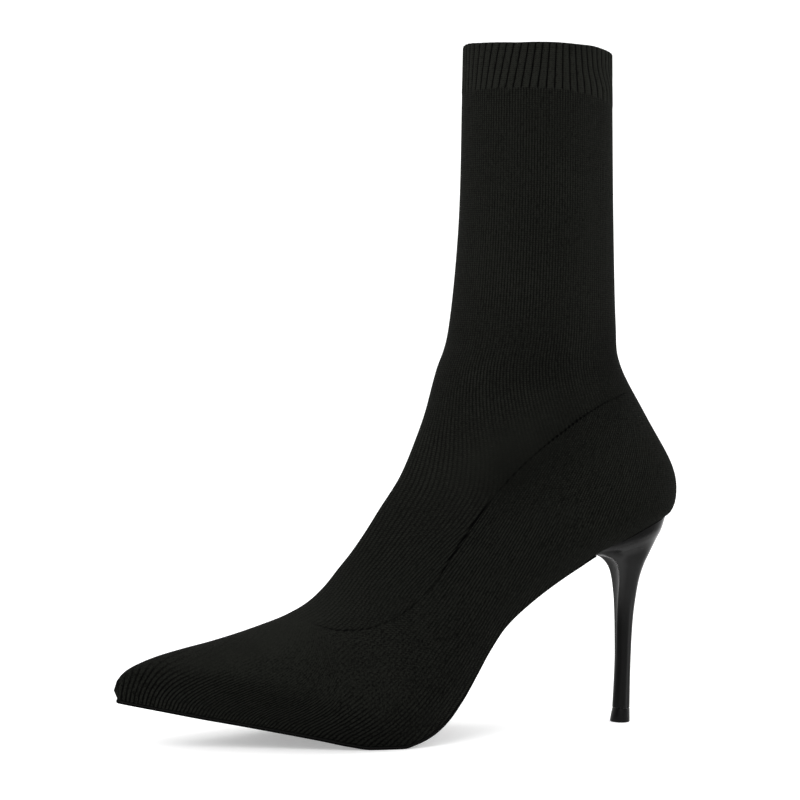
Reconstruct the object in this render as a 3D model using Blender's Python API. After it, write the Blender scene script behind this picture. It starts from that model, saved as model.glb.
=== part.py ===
"""A knitted sock boot on a stiletto heel, left foot, built as a shoemaker puts it together.

Metres, +Z up, +X towards the toe, +Y towards the outer (lateral) side of the left foot.
The origin is on the floor under the middle of the heel's top piece.
"""

import math

import bmesh
import bpy
import numpy as np

# Driving sizes of the whole boot
FOOT_LENGTH = 0.2400  # heel bulge to toe tip, measured flat along the floor
TIP_SETBACK = 0.0226  # heel bulge to the middle of the top piece
BALL_WIDTH = 0.0810  # across the upper at the ball
HEEL_RISE = 0.0869  # back of the seat above the ball's plane
TOE_SPRING = 0.0186  # toe tip above the ball's plane
INSTEP_HEIGHT = 0.0600  # instep above the sole line at its fullest
SHAFT_HEIGHT = 0.1950  # back of the seat to the collar
COLLAR_WIDTH = 0.0570  # across the collar

# Walls, boards and clearances
UPPER_WALL = 0.0018
SHAFT_STEP = 0.0006  # how far the shaft lies under the foot part and the cuff
SEAM_REACH = (-0.2, 1.2)  # shares of a section between which the foot part's edge is drawn
SEAM_END = 1.3  # the share at which the edge has left the top of the foot
OUTSOLE_THICKNESS = 0.0020
OUTSOLE_BEVEL = 0.0008
INSOLE_THICKNESS = 0.0015
INSOLE_INSET = 0.0022
SEAT_GAP = 0.0003  # between pieces that meet

# Ribs of the cuff
RIB_COUNT = 56
RIB_GROOVE_SHARE = 0.30  # of a rib's width
RIB_GROOVE_DEPTH = 0.0005
RIB_GROOVE_FLOOR = 0.5  # width of a groove's floor, as a share of the groove
RIB_GROOVE_MOUTH = 1.6  # where its sides clear the knit, counted the same way
RIB_OVERRUN = 0.0015  # how far the grooves' cutter runs past the cuff's edges

# Heel and top piece
SEAT_WIDTH = 0.0420  # across the block at the seat
BREAST_SETBACK = 0.0402  # heel bulge to the breast corner
TOP_PIECE_HEIGHT = 0.0058
TOP_PIECE_FLARE = 0.0005  # all round, at the floor
TOP_PIECE_LEAN = 0.0005  # how far its foot stands ahead of the stem
TOP_PIECE_CHAMFER = 0.0004

# The underside of the upper: share of FOOT_LENGTH from the heel bulge, then the shares of
# HEEL_RISE and of TOE_SPRING that lift it there. Both are nothing over the flat of the ball.
SOLE_LINE = (
    # along, heel_rise, toe_rise
    (0.021, 1.000, 0.000),
    (0.068, 0.949, 0.000),
    (0.115, 0.890, 0.000),
    (0.168, 0.826, 0.000),
    (0.201, 0.774, 0.000),
    (0.230, 0.728, 0.000),
    (0.288, 0.626, 0.000),
    (0.347, 0.502, 0.000),
    (0.379, 0.401, 0.000),
    (0.410, 0.286, 0.000),
    (0.441, 0.180, 0.000),
    (0.470, 0.097, 0.000),
    (0.498, 0.044, 0.000),
    (0.525, 0.014, 0.000),
    (0.545, 0.000, 0.000),
    (0.596, 0.000, 0.000),
    (0.630, 0.000, 0.065),
    (0.678, 0.000, 0.199),
    (0.795, 0.000, 0.489),
    (0.863, 0.000, 0.645),
    (0.932, 0.000, 0.823),
    (1.000, 0.000, 1.000),
)

# Rings of the shaft, collar first. Along is a share of FOOT_LENGTH, up a share of SHAFT_HEIGHT
# above the seat, width a share of COLLAR_WIDTH. Belly is the share of the ring at which it is
# widest, peak how narrow its front is, and seam the share at which the foot part's edge crosses.
SHAFT_RINGS = (
    # front_along, front_up, back_along, back_up, width, floor, belly, peak, seam
    (0.383, 1.003, 0.126, 0.981, 1.000, 0.14, 0.50, 1.00, -0.90),
    (0.385, 0.907, 0.125, 0.869, 1.000, 0.14, 0.50, 1.00, -0.90),
    (0.391, 0.629, 0.123, 0.635, 1.020, 0.14, 0.50, 1.00, -0.80),
    (0.410, 0.399, 0.118, 0.414, 1.040, 0.14, 0.50, 1.00, -0.65),
    (0.434, 0.306, 0.109, 0.322, 1.055, 0.14, 0.49, 1.00, -0.33),
    (0.458, 0.212, 0.060, 0.214, 1.050, 0.14, 0.46, 1.02, 0.40),
    (0.480, 0.145, 0.009, 0.106, 1.020, 0.15, 0.40, 1.05, 0.62),
    (0.499, 0.095, 0.001, 0.040, 0.985, 0.18, 0.33, 1.08, 0.68),
)

# Sections of the foot, heel first. Each stands on the sole line at along and reaches the top of
# the foot at front_along, height above it as a share of INSTEP_HEIGHT. Outer, inner and ridge are
# shares of BALL_WIDTH from the middle plane, floor is the flat share of the half width, edge is how
# crisp the feather edge is.
FOOT_SECTIONS = (
    # along, front_along, height, outer, inner, ridge, floor, belly, edge, peak, seam
    (0.023, 0.514, 0.212, 0.343, 0.340, 0.000, 0.44, 0.27, 0.25, 1.08, 0.704),
    (0.081, 0.538, 0.166, 0.340, 0.336, -0.004, 0.70, 0.25, 0.35, 1.10, 0.687),
    (0.163, 0.562, 0.169, 0.330, 0.322, -0.008, 0.72, 0.25, 0.50, 1.12, 0.649),
    (0.252, 0.588, 0.224, 0.328, 0.308, -0.012, 0.74, 0.26, 0.65, 1.14, 0.599),
    (0.325, 0.613, 0.303, 0.352, 0.318, -0.015, 0.76, 0.27, 0.80, 1.16, 0.569),
    (0.386, 0.637, 0.444, 0.400, 0.358, -0.018, 0.80, 0.26, 0.95, 1.18, 0.611),
    (0.440, 0.667, 0.620, 0.455, 0.415, -0.020, 0.85, 0.25, 1.00, 1.20, 0.746),
    (0.511, 0.702, 0.768, 0.500, 0.480, -0.022, 0.88, 0.25, 1.00, 1.22, 1.030),
    (0.582, 0.744, 0.748, 0.482, 0.500, -0.022, 0.89, 0.26, 1.00, 1.20, 1.250),
    (0.671, 0.790, 0.636, 0.402, 0.444, -0.020, 0.89, 0.29, 1.00, 1.16, 1.450),
    (0.759, 0.836, 0.520, 0.296, 0.350, -0.020, 0.89, 0.33, 1.00, 1.12, 1.600),
    (0.842, 0.881, 0.422, 0.194, 0.252, -0.020, 0.88, 0.37, 1.00, 1.08, 1.700),
    (0.911, 0.926, 0.325, 0.114, 0.166, -0.019, 0.87, 0.40, 1.00, 1.04, 1.800),
    (0.957, 0.961, 0.238, 0.066, 0.112, -0.019, 0.85, 0.42, 0.95, 1.00, 1.900),
    (0.982, 0.982, 0.172, 0.038, 0.078, -0.019, 0.82, 0.44, 0.80, 1.00, 1.900),
    (0.993, 0.994, 0.110, 0.014, 0.052, -0.019, 0.75, 0.46, 0.60, 1.00, 1.900),
)

# Half width of the outsole, as a share of the upper's flat underneath, by share of FOOT_LENGTH
OUTSOLE_PLAN = (
    # along, outer, inner
    (0.170, 0.80, 0.80),
    (0.300, 0.84, 0.82),
    (0.400, 0.92, 0.90),
    (0.470, 1.00, 0.99),
    (0.600, 1.02, 1.02),
    (1.000, 1.03, 1.03),
)

# Levels of the heel block, top first. Each rises evenly from its front to its back, more steeply
# the nearer it is to the seat. Front_up and back_up are shares of the block's height at its breast
# corner. Front is a share of the way from the top piece's middle to the breast corner, back a
# share of TIP_SETBACK behind it. Width and the breast's face are shares of SEAT_WIDTH. Hollow is a
# share of the face's half width.
HEEL_LEVELS = (
    # front_up, back_up, front, back, width, face, hollow
    (1.260, 1.380, 1.600, -0.920, 1.060, 0.88, 0.15),
    (1.140, 1.310, 1.432, -0.900, 1.030, 0.88, 0.15),
    (1.060, 1.230, 1.248, -0.852, 1.000, 0.88, 0.18),
    (1.015, 1.165, 1.109, -0.792, 0.960, 0.86, 0.20),
    (0.985, 1.120, 1.010, -0.756, 0.860, 0.76, 0.22),
    (0.960, 1.075, 0.640, -0.694, 0.690, 0.54, 0.22),
    (0.934, 1.030, 0.340, -0.634, 0.550, 0.40, 0.20),
    (0.893, 0.970, 0.200, -0.552, 0.445, 0.31, 0.18),
    (0.848, 0.910, 0.140, -0.467, 0.375, 0.25, 0.15),
    (0.770, 0.815, 0.112, -0.370, 0.305, 0.18, 0.12),
    (0.672, 0.700, 0.108, -0.304, 0.258, 0.11, 0.08),
    (0.545, 0.560, 0.108, -0.249, 0.228, 0.07, 0.04),
    (0.365, 0.370, 0.108, -0.212, 0.212, 0.05, 0.00),
    (0.175, 0.175, 0.137, -0.194, 0.205, 0.03, 0.00),
    (0.000, 0.000, 0.176, -0.186, 0.205, 0.03, 0.00),
)

# How many facets go round and along
SLIVER = 0.00003  # points closer than this are one
SECTION_STEPS = 2
FLOOR_STEPS = 3
CORNER_STEPS = 5
CROWN_STEPS = 9
BREAST_STEPS = 4
HEEL_SIDE_STEPS = 7
HEEL_WIDEST = 0.50  # share of a level's depth behind the breast
SHOULDER_BACK = 0.42  # the shoulder's place between the breast and the widest point
SHOULDER_OUT = 0.78

# Colours, roughness and metallic value of each material
KNIT = ("black_knit", (0.010, 0.010, 0.009, 1.0), 0.92, 0.0)
HEEL_GLOSS = ("gloss_black_heel", (0.012, 0.012, 0.012, 1.0), 0.18, 0.0)
SOLE_RUBBER = ("black_outsole", (0.016, 0.016, 0.016, 1.0), 0.55, 0.0)
TIP_PLASTIC = ("black_top_piece", (0.010, 0.010, 0.010, 1.0), 0.40, 0.0)
SOCK_LINING = ("black_insole", (0.020, 0.019, 0.018, 1.0), 0.70, 0.0)


# Curves through the tables

def along_floor(share):
    """Position along X of a share of the boot's length, counted from the heel bulge."""
    return np.asarray(share) * FOOT_LENGTH - TIP_SETBACK


def monotone(x, knots, values):
    """Piecewise cubic through the knots that never overshoots, so level stretches stay level."""
    step = np.diff(knots)
    slope = np.diff(values) / step
    inner = np.where(
        slope[:-1] * slope[1:] > 0,
        2 * slope[:-1] * slope[1:] / np.where(slope[:-1] + slope[1:] == 0, 1, slope[:-1] + slope[1:]),
        0.0,
    )
    tangent = np.concatenate([slope[:1], inner, slope[-1:]])
    x = np.clip(x, knots[0], knots[-1])
    i = np.clip(np.searchsorted(knots, x) - 1, 0, len(step) - 1)
    t = (x - knots[i]) / step[i]
    return (
        values[i] * (1 + 2 * t) * (1 - t) ** 2
        + values[i + 1] * t * t * (3 - 2 * t)
        + step[i] * (tangent[i] * t * (1 - t) ** 2 - tangent[i + 1] * t * t * (1 - t))
    )


def eased_rows(rows, steps):
    """Rows put between the given ones by a Catmull-Rom curve through each column."""
    padded = np.vstack([2 * rows[0] - rows[1], rows, 2 * rows[-1] - rows[-2]])
    fine = []
    for i in range(len(rows) - 1):
        a, b, c, d = padded[i : i + 4]
        for t in np.arange(steps) / steps:
            fine.append(
                0.5 * (2 * b + (c - a) * t + (2 * a - 5 * b + 4 * c - d) * t**2
                       + (3 * b - a - 3 * c + d) * t**3)
            )
    fine.append(rows[-1])
    return np.array(fine)


def sole_height(x):
    """Height of the upper's underside over the floor at x."""
    table = np.array(SOLE_LINE)
    share = (np.asarray(x) + TIP_SETBACK) / FOOT_LENGTH
    heel = monotone(share, table[:, 0], table[:, 1])
    toe = monotone(share, table[:, 0], table[:, 2])
    return OUTSOLE_THICKNESS + SEAT_GAP + HEEL_RISE * heel + TOE_SPRING * toe


# Columns of a section once it is worked out in metres
FRONT_X, FRONT_Z, BACK_X, BACK_Z, OUTER, INNER, RIDGE, FLOOR, BELLY, EDGE, PEAK, SEAM = range(12)


def section_rows():
    """Every section of the upper in metres, collar first and toe last, and the first foot row."""
    seat = OUTSOLE_THICKNESS + SEAT_GAP + HEEL_RISE
    rows = []
    for front_along, front_up, back_along, back_up, width, floor, belly, peak, seam in SHAFT_RINGS:
        half = width * COLLAR_WIDTH / 2
        rows.append((
            along_floor(front_along), seat + front_up * SHAFT_HEIGHT,
            along_floor(back_along), seat + back_up * SHAFT_HEIGHT,
            half, half, 0.0, floor, belly, 0.0, peak, seam,
        ))
    for along, front_along, height, outer, inner, ridge, floor, belly, edge, peak, seam in FOOT_SECTIONS:
        stand = sole_height(along_floor(along))
        rows.append((
            along_floor(front_along), stand + height * INSTEP_HEIGHT,
            along_floor(along), stand,
            outer * BALL_WIDTH, inner * BALL_WIDTH, ridge * BALL_WIDTH, floor, belly, edge, peak, seam,
        ))
    fine = eased_rows(np.array(rows), SECTION_STEPS)
    first_foot = len(SHAFT_RINGS) * SECTION_STEPS
    fine[first_foot:, BACK_Z] = sole_height(fine[first_foot:, BACK_X])
    return fine, first_foot


def half_outline(row, side, floor, corner, crown):
    """One side of a section as (across, up) pairs: flat floor, corner to the belly, crown to the ridge."""
    width = row[OUTER] if side > 0 else row[INNER]
    height = math.hypot(row[FRONT_X] - row[BACK_X], row[FRONT_Z] - row[BACK_Z])
    flat = width * row[FLOOR]
    belly = height * row[BELLY]
    quarter = math.pi / 2
    turn = corner * quarter
    round_rise = 1 - np.cos(turn)
    lift = np.cos(crown * quarter)
    ridge = row[RIDGE] * side
    across = np.concatenate([
        floor * flat,
        flat + (width - flat) * np.sin(turn),
        ridge + (width - ridge) * lift ** row[PEAK],
    ])
    up = np.concatenate([
        np.zeros_like(floor),
        belly * ((1 - row[EDGE]) * round_rise + row[EDGE] * corner),
        belly + (height - belly) * np.sin(crown * quarter),
    ])
    return across * side, up


def section_ring(row, floor_steps=FLOOR_STEPS, corner_steps=CORNER_STEPS, crown_steps=CROWN_STEPS):
    """A section as a closed ring of points, from the middle of its back round the outer side."""
    floor = np.arange(floor_steps) / floor_steps
    corner = np.arange(corner_steps) / corner_steps
    crown = np.arange(crown_steps) / crown_steps
    outer_y, outer_up = half_outline(row, 1, floor, corner, crown)
    inner_y, inner_up = half_outline(row, -1, floor, corner, crown)
    height = math.hypot(row[FRONT_X] - row[BACK_X], row[FRONT_Z] - row[BACK_Z])
    across = np.concatenate([outer_y, [row[RIDGE]], inner_y[:0:-1]])
    share = np.concatenate([outer_up, [height], inner_up[:0:-1]]) / height
    return np.stack([
        row[BACK_X] + share * (row[FRONT_X] - row[BACK_X]),
        across,
        row[BACK_Z] + share * (row[FRONT_Z] - row[BACK_Z]),
    ], axis=1)


def grid_normals(grid):
    """Outward unit normal at each point of a grid whose columns close on themselves."""
    round_way = np.roll(grid, -1, axis=1) - np.roll(grid, 1, axis=1)
    down_way = np.gradient(grid, axis=0)
    normal = np.cross(round_way, down_way)
    return normal / np.linalg.norm(normal, axis=2, keepdims=True)


def last_grid(rows, offset=0.0):
    """The last's surface as a grid of points, a ring to each section, moved out by offset."""
    grid = np.array([section_ring(row) for row in rows])
    return grid + grid_normals(grid) * offset if offset else grid


def toe_pole(rows, offset=0.0):
    """The foremost point of the last."""
    ring = section_ring(rows[-1])
    ahead = (rows[-1][FRONT_X] - rows[-1][BACK_X]) / 2 + FOOT_LENGTH - TIP_SETBACK - rows[-1][FRONT_X]
    return ring.mean(axis=0) + np.array([ahead + offset, 0.0, 0.0])


# Making solids

def material(name, colour, roughness, metallic):
    made = bpy.data.materials.new(name)
    made.use_nodes = True
    shader = made.node_tree.nodes["Principled BSDF"]
    shader.inputs["Base Color"].default_value = colour
    shader.inputs["Roughness"].default_value = roughness
    shader.inputs["Metallic"].default_value = metallic
    return made


def add_object(name, points, faces, finish=None):
    mesh = bpy.data.meshes.new(name)
    mesh.from_pydata([tuple(p) for p in points], [], faces)
    mesh.validate()
    flat = bmesh.new()
    flat.from_mesh(mesh)
    bmesh.ops.triangulate(flat, faces=flat.faces)
    flat.to_mesh(mesh)
    flat.free()
    if finish:
        mesh.materials.append(material(*finish))
    made = bpy.data.objects.new(name, mesh)
    bpy.context.scene.collection.objects.link(made)
    return made


def as_cutter(made):
    made.hide_render = True
    made.display_type = "WIRE"
    return made


def ring_faces(rows, columns, keep=lambda row, column: True):
    """Quads between neighbouring rings, wound to face out of a grid that runs from collar to toe."""
    faces = []
    for r in range(rows - 1):
        for c in range(columns):
            if keep(r, c):
                d = (c + 1) % columns
                faces.append((r * columns + c, r * columns + d, (r + 1) * columns + d, (r + 1) * columns + c))
    return faces


def lofted_solid(name, rings, finish=None):
    """Rings joined in order and closed at both ends with flat caps."""
    count, columns = rings.shape[:2]
    faces = ring_faces(count, columns)
    faces.append(tuple(range(columns)))
    faces.append(tuple(range(count * columns - 1, (count - 1) * columns - 1, -1)))
    made = add_object(name, rings.reshape(-1, 3), faces, finish)
    face_out(made)
    return made


def face_out(made):
    shape = bmesh.new()
    shape.from_mesh(made.data)
    bmesh.ops.recalc_face_normals(shape, faces=shape.faces)
    if shape.calc_volume(signed=True) < 0:
        bmesh.ops.reverse_faces(shape, faces=shape.faces)
    shape.to_mesh(made.data)
    shape.free()


def boolean(made, other, operation):
    cut = made.modifiers.new(operation.lower() + "_" + other.name, "BOOLEAN")
    cut.operation = operation
    cut.object = other
    cut.solver = "EXACT"


def shade(made, degrees=35.0):
    made.data.shade_smooth()
    made.data.set_sharp_from_angle(angle=math.radians(degrees))


def last_solid(name, rows, offset):
    """The whole last as one closed body, grown by offset."""
    grid = last_grid(rows, offset)
    count, columns = grid.shape[:2]
    faces = ring_faces(count, columns)
    faces.append(tuple(range(columns)))
    tip = count * columns
    start = (count - 1) * columns
    faces += [(start + c, tip, start + (c + 1) % columns) for c in range(columns)]
    made = add_object(name, np.vstack([grid.reshape(-1, 3), toe_pole(rows, offset)]), faces)
    face_out(made)
    return made


# Upper: one knitted wall, cuff and shaft and foot, open at the collar and under the foot

def foot_opening(row, column, first_foot, last_open, columns):
    """True on the facets under the foot that the insole and outsole close instead of the knit."""
    under = min(column, columns - 1 - column) < FLOOR_STEPS - 1
    return under and first_foot <= row < last_open


def shaft_recess(rows):
    """Cutter for the shaft, a little under the cuff and the foot part: a shell round the last from
    the cuff's edge down to the seam."""
    cuff_row = SECTION_STEPS
    past_seam = int(np.argmax(rows[:, SEAM] > SEAM_END)) + 1
    inside = last_grid(rows, -SHAFT_STEP)[cuff_row:past_seam]
    outside = last_grid(rows, 3 * SHAFT_STEP)[cuff_row:past_seam]
    count, columns = inside.shape[:2]
    total = count * columns
    faces = [tuple(v + total for v in face) for face in ring_faces(count, columns)]
    faces += [face[::-1] for face in ring_faces(count, columns)]
    for c in range(columns):
        d = (c + 1) % columns
        low = (count - 1) * columns
        faces.append((c, c + total, d + total, d))
        faces.append((low + d, low + d + total, low + c + total, low + c))
    shell = add_object("shaft_recess", np.vstack([inside.reshape(-1, 3), outside.reshape(-1, 3)]), faces)
    face_out(shell)
    boolean(shell, as_cutter(above_seam(rows)), "INTERSECT")
    return as_cutter(shell)


def above_seam(rows):
    """Everything above the seam seen from the side, carried across the whole width."""
    crossed = rows[(rows[:, SEAM] > SEAM_REACH[0]) & (rows[:, SEAM] < SEAM_REACH[1])]
    share = crossed[:, SEAM]
    seam_x = crossed[:, BACK_X] + share * (crossed[:, FRONT_X] - crossed[:, BACK_X])
    seam_z = crossed[:, BACK_Z] + share * (crossed[:, FRONT_Z] - crossed[:, BACK_Z])
    top = rows[0, FRONT_Z] + COLLAR_WIDTH
    behind = -TIP_SETBACK - COLLAR_WIDTH
    ahead = seam_x[-1] + COLLAR_WIDTH / 8
    line = [(behind, seam_z[0]), *zip(seam_x, seam_z), (ahead, top), (behind, top)]
    points = [(x, side * BALL_WIDTH, z) for side in (-1, 1) for x, z in line]
    count = len(line)
    faces = [tuple(range(count)), tuple(range(2 * count - 1, count - 1, -1))]
    faces += [(i, (i + 1) % count, count + (i + 1) % count, count + i) for i in range(count)]
    made = add_object("above_seam", points, faces)
    face_out(made)
    return made


def rib_grooves(rows):
    """Cutter for the grooves between the cuff's ribs, evenly spaced round the collar."""
    high, low = rows[0].copy(), rows[SECTION_STEPS].copy()
    high[[FRONT_Z, BACK_Z]] += RIB_OVERRUN
    low[[FRONT_Z, BACK_Z]] -= RIB_OVERRUN
    floor_edge = RIB_GROOVE_SHARE / 2 * RIB_GROOVE_FLOOR
    mouth_edge = RIB_GROOVE_SHARE / 2 * RIB_GROOVE_MOUTH
    clear = RIB_GROOVE_DEPTH
    pattern = ((-mouth_edge, clear), (-floor_edge, -clear), (floor_edge, -clear), (mouth_edge, clear))
    turns = np.array([(rib + place) / RIB_COUNT for rib in range(RIB_COUNT) for place, _ in pattern])
    depths = np.array([depth for _ in range(RIB_COUNT) for _, depth in pattern])
    rings = []
    for row in (high, low):
        dense = section_ring(row, 8, 40, 40)
        closed = np.vstack([dense, dense[:1]])
        length = np.concatenate([[0], np.cumsum(np.linalg.norm(np.diff(closed, axis=0), axis=1))])
        at = (turns % 1.0) * length[-1]
        point = np.stack([np.interp(at, length, closed[:, k]) for k in range(3)], axis=1)
        along = np.roll(point, -1, axis=0) - np.roll(point, 1, axis=0)
        out = np.cross((0.0, 0.0, 1.0), along)
        out /= np.linalg.norm(out, axis=1, keepdims=True)
        rings.append(point + out * depths[:, None])
        rings.append(point + out * 4 * clear)
    inner_high, outer_high, inner_low, outer_low = rings
    loop = np.array([inner_high, outer_high, outer_low, inner_low])
    columns = loop.shape[1]
    faces = []
    for r in range(4):
        for c in range(columns):
            s, d = (r + 1) % 4, (c + 1) % columns
            faces.append((r * columns + c, s * columns + c, s * columns + d, r * columns + d))
    made = add_object("rib_grooves", loop.reshape(-1, 3), faces)
    face_out(made)
    return as_cutter(made)


def upper(rows, first_foot):
    grid = last_grid(rows)
    count, columns = grid.shape[:2]
    last_open = count - 1 - 2 * SECTION_STEPS
    faces = ring_faces(
        count, columns, lambda r, c: not foot_opening(r, c, first_foot + 1, last_open, columns)
    )
    tip = count * columns
    start = (count - 1) * columns
    faces += [(start + c, start + (c + 1) % columns, tip) for c in range(columns)]
    made = add_object("upper", np.vstack([grid.reshape(-1, 3), toe_pole(rows)]), faces, KNIT)
    drop_loose_points(made)
    wall = made.modifiers.new("knit_wall", "SOLIDIFY")
    wall.thickness = UPPER_WALL
    wall.offset = -1.0
    wall.use_even_offset = True
    made.modifiers.new("flat_facets", "TRIANGULATE")
    recess = shaft_recess(rows)
    boolean(recess, rib_grooves(rows), "UNION")
    boolean(made, recess, "DIFFERENCE")
    slivers = made.modifiers.new("no_slivers", "WELD")
    slivers.merge_threshold = SLIVER
    shade(made)
    return made


def drop_loose_points(made):
    shape = bmesh.new()
    shape.from_mesh(made.data)
    bmesh.ops.delete(shape, geom=[v for v in shape.verts if not v.link_faces], context="VERTS")
    shape.to_mesh(made.data)
    shape.free()


# Outsole and insole: thin boards that follow the sole line under and inside the upper

def sole_normals(rows):
    """Unit vectors that point down out of the sole line, at each section."""
    x, z = rows[:, BACK_X], rows[:, BACK_Z]
    dx, dz = np.gradient(x), np.gradient(z)
    length = np.hypot(dx, dz)
    return dz / length, -dx / length


def board(name, rows, outer, inner, top, thickness, bevel, finish):
    """A board along the sole line. Top and thickness are measured down out of it, and its lower
    edge is bevelled."""
    down_x, down_z = sole_normals(rows)
    rings = []
    for i, row in enumerate(rows):
        ring = []
        for across, depth in (
            (outer[i], top), (outer[i], top + thickness - bevel), (outer[i] - bevel, top + thickness),
            (-inner[i] + bevel, top + thickness), (-inner[i], top + thickness - bevel), (-inner[i], top),
        ):
            ring.append((row[BACK_X] + down_x[i] * depth, across, row[BACK_Z] + down_z[i] * depth))
        rings.append(ring)
    made = lofted_solid(name, np.array(rings), finish)
    shade(made)
    return made


def section_at(rows, x):
    """The section whose foot stands at x, halfway along a facet of the upper if need be."""
    return np.array([np.interp(x, rows[:, BACK_X], column) for column in rows.T])


def outsole(rows, first_foot):
    plan = np.array(OUTSOLE_PLAN)
    breast = BREAST_SETBACK - TIP_SETBACK + SEAT_GAP
    foot = rows[first_foot:]
    used = np.vstack([section_at(foot, breast), foot[foot[:, BACK_X] > breast]])
    share = (used[:, BACK_X] + TIP_SETBACK) / FOOT_LENGTH
    outer = used[:, OUTER] * used[:, FLOOR] * np.interp(share, plan[:, 0], plan[:, 1])
    inner = used[:, INNER] * used[:, FLOOR] * np.interp(share, plan[:, 0], plan[:, 2])
    return board("outsole", used, outer, inner, SEAT_GAP, OUTSOLE_THICKNESS, OUTSOLE_BEVEL, SOLE_RUBBER)


def insole(rows, first_foot):
    used = rows[first_foot + 1 : len(rows) - 2 * SECTION_STEPS]
    outer = used[:, OUTER] * used[:, FLOOR] - INSOLE_INSET
    inner = used[:, INNER] * used[:, FLOOR] - INSOLE_INSET
    top = -(UPPER_WALL + SEAT_GAP + INSOLE_THICKNESS)
    return board("insole", used, outer, inner, top, INSOLE_THICKNESS, INSOLE_THICKNESS / 3, SOCK_LINING)


# Heel block and its top piece

def heel_ring(front, back, half_width, half_face, hollow):
    """A level of the heel as a closed ring: the breast in front, round sides meeting at the back."""
    breast = np.linspace(half_face, -half_face, BREAST_STEPS + 1)
    widest = front - (front - back) * HEEL_WIDEST
    points = [(front - hollow * half_face * (1 - (y / half_face) ** 2), y) for y in breast]
    shoulder = (
        front - (front - widest) * SHOULDER_BACK, half_face + (half_width - half_face) * SHOULDER_OUT
    )
    turns = np.linspace(0, math.pi / 2, HEEL_SIDE_STEPS + 1)[1:]
    side = [(widest - (widest - back) * math.sin(t), -half_width * math.cos(t)) for t in turns]
    points += [(shoulder[0], -shoulder[1]), (widest, -half_width)]
    points += side
    points += [(x, -y) for x, y in reversed(side[:-1])]
    points += [(widest, half_width), shoulder]
    return np.array(points)


def heel_levels():
    """The points of each level of the block, top first."""
    foot = TOP_PIECE_HEIGHT + SEAT_GAP
    rise = sole_height(BREAST_SETBACK - TIP_SETBACK) - foot
    levels = []
    for front_up, back_up, front, back, width, face, hollow in HEEL_LEVELS:
        front_x = front * (BREAST_SETBACK - TIP_SETBACK)
        back_x = back * TIP_SETBACK
        ring = heel_ring(front_x, back_x, width * SEAT_WIDTH / 2, face * SEAT_WIDTH / 2, hollow)
        up = front_up + (back_up - front_up) * (front_x - ring[:, 0]) / (front_x - back_x)
        levels.append(np.column_stack([ring, foot + up * rise]))
    return levels


def heel(rows):
    made = lofted_solid("heel", np.array(heel_levels()), HEEL_GLOSS)
    boolean(made, as_cutter(last_solid("seat_of_upper", rows, SEAT_GAP)), "DIFFERENCE")
    shade(made)
    return made


def top_piece():
    """The wearing piece under the stem, a little flared towards the floor."""
    ring = heel_levels()[-1][:, :2]
    middle = ring.mean(axis=0)
    reach = np.linalg.norm(ring - middle, axis=1, keepdims=True)
    outward = (ring - middle) / reach
    lean = np.array([TOP_PIECE_LEAN, 0.0])
    levels = (
        (TOP_PIECE_HEIGHT, ring),
        (TOP_PIECE_CHAMFER, ring + outward * TOP_PIECE_FLARE + lean),
        (0.0, ring + outward * (TOP_PIECE_FLARE - TOP_PIECE_CHAMFER) + lean),
    )
    rings = [[(x, y, height) for x, y in outline] for height, outline in levels]
    made = lofted_solid("top_piece", np.array(rings), TIP_PLASTIC)
    shade(made)
    return made


for old in list(bpy.data.objects):
    bpy.data.objects.remove(old)

SECTIONS, FIRST_FOOT = section_rows()
upper(SECTIONS, FIRST_FOOT)
insole(SECTIONS, FIRST_FOOT)
outsole(SECTIONS, FIRST_FOOT)
heel(SECTIONS)
top_piece()
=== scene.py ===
"""Looks of a black knitted sock boot on a stiletto heel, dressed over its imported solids."""

import math

import bpy
import numpy as np
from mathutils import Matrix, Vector
from mathutils.bvhtree import BVHTree


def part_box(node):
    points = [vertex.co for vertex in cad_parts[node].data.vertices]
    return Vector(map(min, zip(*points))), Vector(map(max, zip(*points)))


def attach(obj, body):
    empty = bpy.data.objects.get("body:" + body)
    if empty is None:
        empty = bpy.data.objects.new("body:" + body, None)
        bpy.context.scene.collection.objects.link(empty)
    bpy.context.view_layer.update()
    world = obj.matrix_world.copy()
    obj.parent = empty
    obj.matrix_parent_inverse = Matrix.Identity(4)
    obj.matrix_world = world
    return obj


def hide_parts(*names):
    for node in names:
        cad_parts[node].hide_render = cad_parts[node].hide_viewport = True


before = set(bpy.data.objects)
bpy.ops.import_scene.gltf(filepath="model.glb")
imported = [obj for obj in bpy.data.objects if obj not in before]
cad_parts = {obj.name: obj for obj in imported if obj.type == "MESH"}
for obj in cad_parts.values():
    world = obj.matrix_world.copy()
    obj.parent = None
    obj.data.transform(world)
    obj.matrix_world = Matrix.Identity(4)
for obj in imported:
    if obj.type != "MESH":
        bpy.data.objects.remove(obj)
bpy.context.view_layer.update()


# Upper. One knitted sock of dull black yarn, made whole from toe to collar on a knitting machine,
# pulled over the last and cemented under the insole. Its cuff is a wide rib; the heavier foot
# part ends in a welt, above which the shaft is a thinner, finer knit.

mm = 0.001
foot_length = 240.0 * mm  # flat along the floor, heel bulge to toe tip
heel_bulge_x = -22.6 * mm  # the origin is under the middle of the top piece
ball_width = 81.0 * mm
ball_z = 2.3 * mm  # underside of the knit over the flat of the ball
heel_rise = 86.9 * mm
toe_spring = 18.6 * mm
seat_z = ball_z + heel_rise
shaft_height = 195.0 * mm
instep_height = 60.0 * mm
collar_width = 57.0 * mm
knit_wall = 1.8 * mm

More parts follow.
